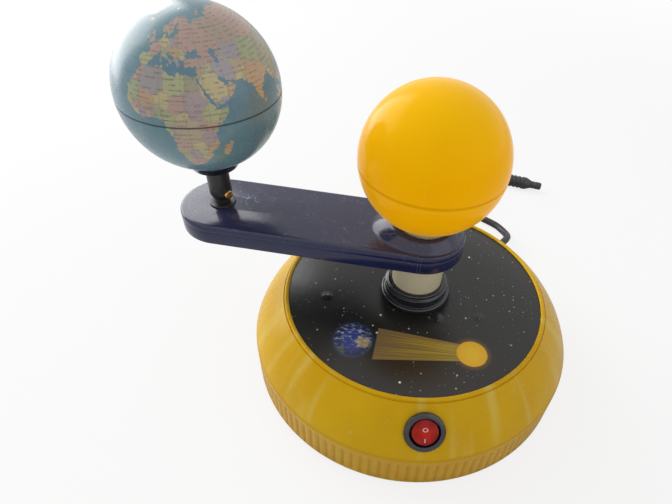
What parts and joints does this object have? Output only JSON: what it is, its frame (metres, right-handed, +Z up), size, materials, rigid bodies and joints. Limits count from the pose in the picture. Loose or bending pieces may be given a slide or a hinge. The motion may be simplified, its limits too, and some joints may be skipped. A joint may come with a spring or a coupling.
{
  "type": "tellurion",
  "caption": "Motorised tellurion: round yellow base with a star disc and rocker switch, a fixed glowing sun, and a dark blue arm that carries a spinning Earth globe round it.",
  "frame": {"origin": "on the turning axis of the arm, at the underside of the rubber foot ring", "axes": "+Z up along the turning axis; the arm points along -X at rest; the switch faces -Y and the cord leaves towards +Y"},
  "size_m": [0.2728, 0.3426, 0.2157],
  "materials": {
    "yellow_abs": "gloss",
    "black_plastic": "satin",
    "dark_blue_abs": "gloss",
    "cream_plastic": "satin",
    "white_nylon": "matte",
    "sun_plastic": "gloss",
    "globe_print": "gloss",
    "star_print": "gloss",
    "switch_red": "gloss",
    "steel": "satin",
    "zinc_screws": "bright",
    "brass": "polished",
    "foot_rubber": "matte",
    "cord_rubber": "satin",
    "belt_rubber": "matte",
    "wire_insulation": "satin",
    "bulb_glass": "clear",
    "grey_plate": "matte"
  },
  "bodies": {
    "base": {"base_shell": "yellow_abs", "bottom_plate": "grey_plate", "foot_ring": "foot_rubber", "plate_screws": "zinc_screws", "star_film": "star_print", "collar": "black_plastic", "collar_nut": "grey_plate", "pedestal": "white_nylon", "pedestal_screws": "zinc_screws", "thrust_washer": "white_nylon", "lamp_tube": "steel", "fixed_pulley": "white_nylon", "sun_neck": "cream_plastic", "lamp_holder": "white_nylon", "bulb_cap": "steel", "bulb_glass": "bulb_glass", "sun_lower": "sun_plastic", "sun_upper": "sun_plastic", "motor_case": "steel", "motor_ears": "steel", "motor_screws": "zinc_screws", "terminal_block": "white_nylon", "block_screws": "zinc_screws", "wiring": "wire_insulation", "switch_body": "black_plastic", "switch_terminals": "brass", "strain_relief": "black_plastic", "power_cord": "cord_rubber", "cord_coil": "cord_rubber", "plug_lead": "cord_rubber", "plug_body": "black_plastic", "plug_boot": "black_plastic", "plug_barrel": "steel", "plug_cap": "cord_rubber"},
    "arm": {"drive_tube": "cream_plastic", "main_gear": "white_nylon", "arm_tray": "dark_blue_abs", "arm_lid": "dark_blue_abs", "arm_screws": "zinc_screws", "shaft_bush": "black_plastic", "foot_bush": "brass", "drive_belt": "belt_rubber"},
    "earth": {"earth_shaft": "steel", "earth_pulley": "white_nylon", "stem_socket": "black_plastic", "set_screw": "brass", "saucer": "black_plastic", "globe_hub": "white_nylon", "globe_south": "globe_print", "globe_north": "globe_print"},
    "motor_rotor": {"motor_shaft": "steel", "motor_pinion": "white_nylon"},
    "rocker": {"rocker": "switch_red"}
  },
  "joints": [
    {"name": "arm_orbit", "type": "hinge", "parent": "base", "child": "arm", "pos_m": [0, 0, 0.0925], "axis": [0, 0, 1], "continuous": true},
    {"name": "earth_spin", "type": "hinge", "parent": "arm", "child": "earth", "pos_m": [-0.1215, 0, 0.0956], "axis": [0, 0, 1], "continuous": true},
    {"name": "pinion_spin", "type": "hinge", "parent": "base", "child": "motor_rotor", "pos_m": [-0.03886, 0.00969, 0.0226], "axis": [0, 0, 1], "continuous": true},
    {"name": "rocker_tilt", "type": "hinge", "parent": "base", "child": "rocker", "pos_m": [0.01609, -0.09126, 0.04155], "axis": [0.9848, 0.1736, 0], "range_deg": [0, 16]}
  ],
  "couplings": [
    {"joint": "earth_spin", "follows": "arm_orbit", "ratio": -3},
    {"joint": "pinion_spin", "follows": "arm_orbit", "ratio": -3}
  ]
}
